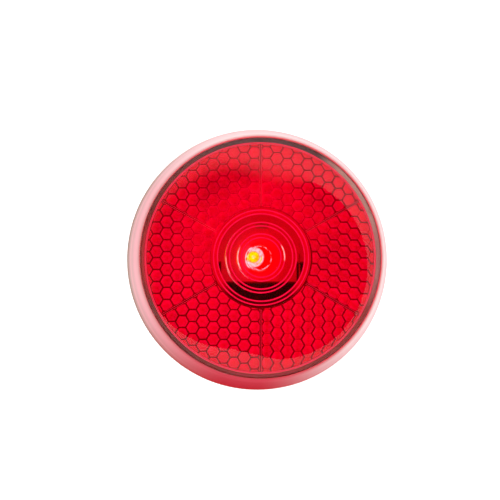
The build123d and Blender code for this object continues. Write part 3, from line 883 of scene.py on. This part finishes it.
def bezel_material():
    """Dark grey ring, with a pale painted reflection at the upper right and painted red light making it red
    brown below and red on the left.

    A brighter line, a painted glint, runs along it at the foot.
    """
    mat, shader = material("bezel_grey", (0.11, 0.08, 0.075), 0.45)
    shader.inputs["Specular IOR Level"].default_value = 0.0
    patches = noise_field(mat, 0.3).outputs["Fac"]
    upper = ramp(mat, patches, (0.3, (0.15, 0.08, 0.07)), (0.7, (0.19, 0.1, 0.09)))
    lower = ramp(mat, patches, (0.3, (0.42, 0.045, 0.035)), (0.7, (0.52, 0.06, 0.045)))
    left_red_light = ramp(mat, patches, (0.3, (0.28, 0.055, 0.04)), (0.7, (0.36, 0.07, 0.05)))
    right = ramp(mat, patches, (0.3, (0.66, 0.34, 0.31)), (0.7, (0.7, 0.37, 0.34)))
    pale = ramp(mat, patches, (0.3, (0.7, 0.58, 0.47)), (0.7, (0.74, 0.64, 0.53)))
    # The ring's own dark grey, with painted light over it: red light below and on the left, a pale reflection
    # at the upper right.
    base = upper.outputs["Color"]
    sides = (
        (300, 0.1, 0.7, lower), (180, 0.3, 0.8, left_red_light), (15, 0.75, 0.93, right), (34, 0.9, 0.97, pale),
    )
    for bearing, fade_from, full_from, tone in sides:
        mask = toward(mat, bearing, (fade_from, 0.0), (full_from, 1.0))
        base = mixed(mat, mask.outputs["Color"], base, tone.outputs["Color"])
    # Painted red light: a thin red band on the far left.
    far_left = radius_ramp(
        mat, (0, 0), LENS_R, SKIRT_R,
        (LENS_R, (0.5, 0.03, 0.04)), (LENS_R + 0.3, (0.85, 0.08, 0.11)),
        (LENS_R + 0.55, (0.6, 0.09, 0.06)), (LENS_R + 0.9, (0.6, 0.08, 0.06)),
    )
    mask = toward(mat, 180, (0.93, 0.0), (0.985, 1.0))
    base = mixed(mat, mask.outputs["Color"], base, far_left.outputs["Color"])
    # A painted glint: a brighter line round the middle of the ring, at the bottom only.
    middle = (LENS_R + SKIRT_R) / 2 - 0.2
    black, full = (0.0,) * 3, (1.0,) * 3
    line = radius_ramp(
        mat, (0, 0), LENS_R, SKIRT_R,
        (middle - 0.2, black), (middle - 0.08, full), (middle + 0.08, full), (middle + 0.2, black),
    )
    bottom = toward(mat, 272, (0.94, 0.0), (0.975, 1.0))
    mask = mixed(mat, 1.0, line.outputs["Color"], bottom.outputs["Color"], "MULTIPLY")
    streaks = noise_field(mat, 0.6).outputs["Fac"]
    glint = ramp(mat, streaks, (0.3, (0.55, 0.03, 0.06)), (0.7, (0.65, 0.05, 0.08)))
    mat.node_tree.links.new(mixed(mat, mask, base, glint.outputs["Color"]), shader.inputs["Base Color"])
    return mat


def skirt_material():
    """A red sleeve with a painted glow, standing in for the LED's light round the bezel."""
    color = (0.85, 0.03, 0.05)
    mat, shader = material("skirt_red", color, 0.4, Emission_Strength=0.45)
    shader.inputs["Emission Color"].default_value = (1.0, 0.03, 0.06, 1)
    return vary(mat, shader, color, scale=0.3, amount=0.08)


def board_material():
    """Red solder mask, with a painted pool of the LED's light, brightest round the LED in front of it."""
    color = (0.6, 0.05, 0.2)
    mat, shader = material("board_red", color, 0.5, Emission_Strength=1.0)
    vary(mat, shader, color, scale=0.8, amount=0.1, rough=(0.45, 0.55), bump=0.2, bump_scale=10.0)
    glow = radius_ramp(
        mat, (0, 0), 2.5, 12.0,
        (3.2, (0.86, 0.02, 0.06)), (4.6, (0.66, 0.02, 0.08)),
        (6.0, (0.42, 0.01, 0.1)), (9.0, (0.36, 0.005, 0.1)),
    )
    mat.node_tree.links.new(glow.outputs["Color"], shader.inputs["Emission Color"])
    return mat


def paint(looks):
    """Gives each named solid of the frame its one material."""
    for name, mat in looks.items():
        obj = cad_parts[name]
        obj.data.materials.clear()
        obj.data.materials.append(mat)


steel = metal("nickel", (0.78, 0.77, 0.74))
zinc = metal("zinc", (0.68, 0.69, 0.72), 0.34)
strip = metal("contact_strip", (0.8, 0.76, 0.66), 0.3)
tin = metal("tinned", (0.8, 0.8, 0.8), 0.25)
shell_red = plastic("shell_red", (0.5, 0.008, 0.016), 0.4, bump=0.4, bump_scale=5.0)
paint({
    "reflector_tray": plastic("tray_white", (0.93, 0.93, 0.92), 0.3, bump=0.1),
    "bezel_ring": bezel_material(),
    "red_skirt": skirt_material(),
    "base_shell": shell_red,
    "seal_ring": plastic("seal_black", (0.03, 0.03, 0.03), 0.6),
    "battery_holder": plastic("holder_black", (0.05, 0.045, 0.045), 0.5, amount=0.2),
    "cell_left": steel, "cell_low": steel, "cell_right": steel,
    "bridge_top": strip, "bridge_bottom": strip, "contact_minus": strip, "contact_plus": strip,
    "holder_screws": zinc, "board_screws": zinc,
    "circuit_board": board_material(),
    "led_leads": tin,
    "led_die": die_material(),
    "solder_joints": metal("solder", (0.8, 0.8, 0.82), 0.2),
    "flasher_chip": plastic("epoxy_drop", (0.012, 0.012, 0.012), 0.25, bump=0.1),
    "resistor": plastic("resistor_tan", (0.75, 0.5, 0.3), 0.4),
    "capacitor": plastic("capacitor_blue", (0.03, 0.06, 0.2), 0.3, bump=0.05),
    "switch_body": plastic("switch_black", (0.03, 0.03, 0.03), 0.45),
    "switch_plunger": plastic("plunger_brown", (0.35, 0.2, 0.1), 0.4),
    "push_button": plastic("button_red", (0.35, 0.02, 0.02), 0.6, bump=0.5, bump_scale=4.0),
    "hinge_pin": metal("pin_steel", (0.7, 0.7, 0.71), 0.22),
    "clip_arm": plastic("clip_white", (0.6, 0.6, 0.59), 0.4, amount=0.03, bump=0.4, bump_scale=5.0),
    "jaw_pad": plastic("pad_black", (0.03, 0.03, 0.03), 0.7),
})

build_cover()
build_window()
build_ring_lips()
build_reflector()
build_sector_lips()
build_led()
build_spring()


# ---- studio ----
def build_world():
    """A white surround with a dark opening above the flasher, soft towards the top left."""
    world = bpy.data.worlds.new("studio")
    world.use_nodes = True
    tree = world.node_tree
    background = tree.nodes["Background"]
    link = tree.links.new
    place = tree.nodes.new("ShaderNodeTexCoord")
    split = tree.nodes.new("ShaderNodeSeparateXYZ")
    link(place.outputs["Generated"], split.inputs[0])

    def math(operation, a, b=None):
        node = tree.nodes.new("ShaderNodeMath")
        node.operation = operation
        for socket, value in zip(node.inputs, (a, b)):
            if value is None:
                continue
            if isinstance(value, (int, float)):
                socket.default_value = value
            else:
                link(value, socket)
        return node.outputs[0]

    def step(value, low, high):
        node = tree.nodes.new("ShaderNodeMapRange")
        node.interpolation_type = "SMOOTHSTEP"
        node.inputs["From Min"].default_value = low
        node.inputs["From Max"].default_value = high
        link(value, node.inputs["Value"])
        return node.outputs["Result"]

    height = math("MAXIMUM", split.outputs["Z"], LOWEST_Z)
    across = math("DIVIDE", split.outputs["X"], height)
    along = math("DIVIDE", split.outputs["Y"], height)
    nearest = math("MINIMUM", math("MAXIMUM", across, OPENING_X[0]), OPENING_X[1])
    dx = math("SUBTRACT", across, nearest)
    dy = math("SUBTRACT", along, math("ADD", math("MULTIPLY", nearest, OPENING_SLOPE), OPENING_Y))
    distance = math("SQRT", math("ADD", math("MULTIPLY", dx, dx), math("MULTIPLY", dy, dy)))
    beside = math("SUBTRACT", along, math("MULTIPLY", across, CORNER_SLOPE))
    above = math("ADD", along, CORNER_DROP)
    corner = step(math("MINIMUM", beside, above), -CORNER_BLUR, CORNER_BLUR)
    softness = math("ADD", math("MULTIPLY", corner, SOFT_EDGE - HARD_EDGE), HARD_EDGE)
    depth = math("DIVIDE", math("SUBTRACT", distance, OPENING_R), softness)
    level = math("ADD", math("MULTIPLY", step(depth, -1.0, 1.0), WORLD_LEVEL), OPENING_LEVEL)
    background.inputs["Color"].default_value = (1, 1, 1, 1)
    link(level, background.inputs["Strength"])
    bpy.context.scene.world = world


# The opening's outline in direction space: x / z and y / z of a ray that leaves the flasher.
OPENING_X = (-0.062, 0.135)
OPENING_Y = 0.0255
OPENING_SLOPE = -0.25
OPENING_R = 0.39
LOWEST_Z = 0.05          # keeps the outline finite for rays near the horizon
HARD_EDGE, SOFT_EDGE = 0.002, 0.06
# The edge is soft where a ray is above both of two lines through the opening: a slanted one and a level one.
CORNER_SLOPE, CORNER_DROP, CORNER_BLUR = 1.43, 0.12, 0.06
WORLD_LEVEL, OPENING_LEVEL = 1.45, 0.005
build_world()


def build_floor():
    """A plain white floor just under the clip."""
    bpy.ops.mesh.primitive_plane_add(size=6.0, location=(0, 0, CAD_BOX[0][2] - 0.0001))
    floor = bpy.context.object
    floor.name = "floor"
    mat, shader = material("floor_white", (0.93, 0.93, 0.93), 0.8, Emission_Strength=0.45)
    shader.inputs["Emission Color"].default_value = (1, 1, 1, 1)
    floor.data.materials.append(mat)


build_floor()

CAMERA_TILT, CAMERA_BEARING = 3.5, 214       # degrees off the Z axis, and which way
CAMERA_DISTANCE = 0.5                        # metres
CAMERA_TARGET = (-1.61, 2.1, REAR_Z + 0.4)   # at the height of the flasher's widest part
VIEW_WIDTH = 109.6                           # how much of that height's plane the picture takes in


def build_camera():
    """Nearly face on, from a little below and to the left, so that more of that flank shows."""
    tilt, bearing = radians(CAMERA_TILT), radians(CAMERA_BEARING)
    back = Vector((sin(tilt) * cos(bearing), sin(tilt) * sin(bearing), cos(tilt)))
    right = Vector((0, 1, 0)).cross(back).normalized()
    up = back.cross(right)
    target = Vector(CAMERA_TARGET) * MM
    data = bpy.data.cameras.new("camera")
    data.lens = data.sensor_width * CAMERA_DISTANCE / (VIEW_WIDTH * MM)
    data.clip_start = 0.01
    camera = bpy.data.objects.new("camera", data)
    bpy.context.scene.collection.objects.link(camera)
    rotation = Matrix((right, up, back)).transposed().to_4x4()
    camera.matrix_world = Matrix.Translation(target + back * CAMERA_DISTANCE) @ rotation
    bpy.context.scene.camera = camera


build_camera()
bpy.context.scene.view_settings.view_transform = "Standard"
